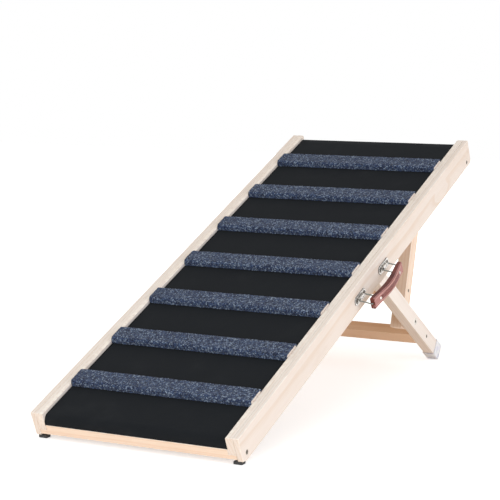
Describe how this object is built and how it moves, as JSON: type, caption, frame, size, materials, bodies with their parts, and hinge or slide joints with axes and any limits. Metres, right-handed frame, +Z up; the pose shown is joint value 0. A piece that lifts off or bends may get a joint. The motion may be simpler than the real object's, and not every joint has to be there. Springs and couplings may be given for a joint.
{
  "type": "folding pet ramp",
  "caption": "Inclined wooden ramp with raised rails, dark matted deck, carpeted cross treads, folding rear legs held by a notched strut, and a leather lift handle.",
  "frame": {"origin": "centre of the bounding box at floor level, the ramp standing open on its toe pads and foot caps", "axes": "+Y up the ramp towards its raised end, +Z up from the floor, +X towards the rail with the handle"},
  "size_m": [0.4414, 0.9994, 0.4427],
  "materials": {
    "pine": "planed pale softwood, clear sealed",
    "plywood": "thin plywood, unpainted",
    "mat": "smooth dark mat, matte",
    "carpet": "looped heather carpet",
    "rubber": "matte",
    "foot_cap": "milky moulded vinyl",
    "leather": "stitched, lightly polished",
    "steel": "nickel plated"
  },
  "bodies": {
    "ramp": {"bracket_screw_front_1": "steel", "bracket_screw_front_2": "steel", "bracket_screw_rear_1": "steel", "bracket_screw_rear_2": "steel", "deck_board": "plywood", "deck_mat": "mat", "front_bar": "pine", "handle_bracket_front": "steel", "handle_bracket_rear": "steel", "hinge_bolt_left": "steel", "hinge_bolt_right": "steel", "rack_left": "pine", "rack_right": "pine", "rail_batten_left": "pine", "rail_batten_right": "pine", "rail_board_left": "pine", "rail_board_right": "pine", "rail_screw_front_left": "steel", "rail_screw_front_right": "steel", "rail_screw_rear_left": "steel", "rail_screw_rear_right": "steel", "rear_bar": "pine", "rubber_pad_left": "rubber", "rubber_pad_right": "rubber", "tread_carpet_1": "carpet", "tread_carpet_2": "carpet", "tread_carpet_3": "carpet", "tread_carpet_4": "carpet", "tread_carpet_5": "carpet", "tread_carpet_6": "carpet", "tread_carpet_7": "carpet", "tread_slat_1": "pine", "tread_slat_2": "pine", "tread_slat_3": "pine", "tread_slat_4": "pine", "tread_slat_5": "pine", "tread_slat_6": "pine", "tread_slat_7": "pine"},
    "leg_frame": {"brace_screw_left": "steel", "brace_screw_right": "steel", "leg_brace": "pine", "leg_cap_left": "foot_cap", "leg_cap_right": "foot_cap", "leg_left": "pine", "leg_right": "pine", "strut_bolt_left": "steel", "strut_bolt_right": "steel", "strut_nut_left": "steel", "strut_nut_right": "steel"},
    "strut_frame": {"spreader_screw_left": "steel", "spreader_screw_right": "steel", "strut_left": "pine", "strut_right": "pine", "strut_spreader": "pine", "strut_top_bar": "pine"},
    "handle_rings": {"handle_ring_front": "steel", "handle_ring_rear": "steel"},
    "handle_grip": {"grip_rivet_front": "steel", "grip_rivet_rear": "steel", "handle_grip": "leather"}
  },
  "joints": [
    {"name": "leg_fold", "type": "hinge", "parent": "ramp", "child": "leg_frame", "pos_m": [-0.0207, 0.06907, 0.24096], "axis": [-1, 0, 0], "range_deg": [0, 123.5]},
    {"name": "strut_fold", "type": "hinge", "parent": "leg_frame", "child": "strut_frame", "pos_m": [-0.0207, 0.27421, 0.09983], "axis": [-1, 0, 0], "range_deg": [-72.59, 0]},
    {"name": "handle_lift", "type": "hinge", "parent": "ramp", "child": "handle_rings", "pos_m": [0.18348, 0.00701, 0.22239], "axis": [0, -0.9274, -0.3742], "range_deg": [0, 60]},
    {"name": "grip_rock", "type": "hinge", "parent": "handle_rings", "child": "handle_grip", "pos_m": [0.20845, 0.00896, 0.21756], "axis": [0, -0.9274, -0.3742], "range_deg": [0, 10]}
  ],
  "couplings": [
    {"joint": "strut_fold", "follows": "leg_fold", "ratio": -0.58699}
  ]
}
